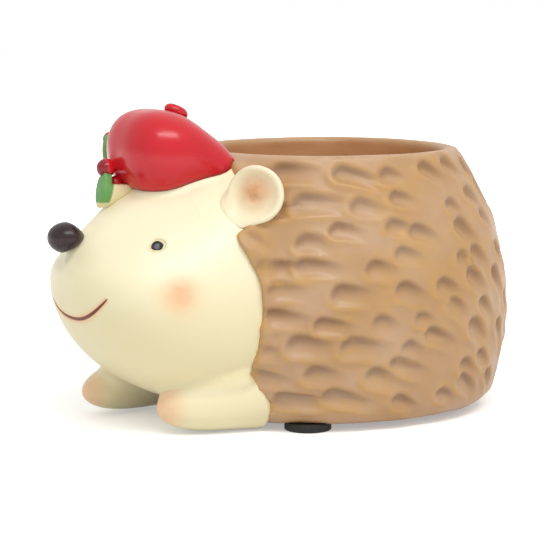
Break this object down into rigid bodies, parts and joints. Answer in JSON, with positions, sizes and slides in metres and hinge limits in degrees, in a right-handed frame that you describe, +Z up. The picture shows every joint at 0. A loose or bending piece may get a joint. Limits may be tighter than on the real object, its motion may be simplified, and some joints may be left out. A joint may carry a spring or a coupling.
{
  "type": "animal shaped planter",
  "caption": "Hedgehog shaped resin planter: a round dented pot for a back, with a cream head, forelegs, ears, a red cap with leaves and berries, and rubber pads to stand on.",
  "frame": {"origin": "on the surface the planter stands on, under the middle of its overall length and width", "axes": "+Z up, -Y the way the animal faces, +X to the animal's left"},
  "size_m": [0.11, 0.1638, 0.1036],
  "materials": {
    "coat_resin": "brown painted cast resin, dented like combed quills, satin",
    "face_resin": "cream painted cast resin with airbrushed peach blush, satin",
    "nose_enamel": "dark purple-brown gloss enamel on cast resin",
    "eye_bead": "glossy black bead",
    "cap_resin": "red painted cast resin, satin",
    "leaf_resin": "green painted cast resin, satin",
    "pad_rubber": "black self-adhesive rubber"
  },
  "bodies": {
    "root": {"quill_pot": "coat_resin", "head": "face_resin", "foreleg_left": "face_resin", "foreleg_right": "face_resin", "ear_left": "face_resin", "ear_right": "face_resin", "nose": "nose_enamel", "eye_left": "eye_bead", "eye_right": "eye_bead", "cap": "cap_resin", "cap_button": "cap_resin", "brow_leaf": "leaf_resin", "side_leaf": "leaf_resin", "berry_1": "cap_resin", "berry_2": "cap_resin", "berry_3": "cap_resin", "pad_front_left": "pad_rubber", "pad_front_right": "pad_rubber", "pad_rear_left": "pad_rubber", "pad_rear_right": "pad_rubber"}
  },
  "joints": []
}
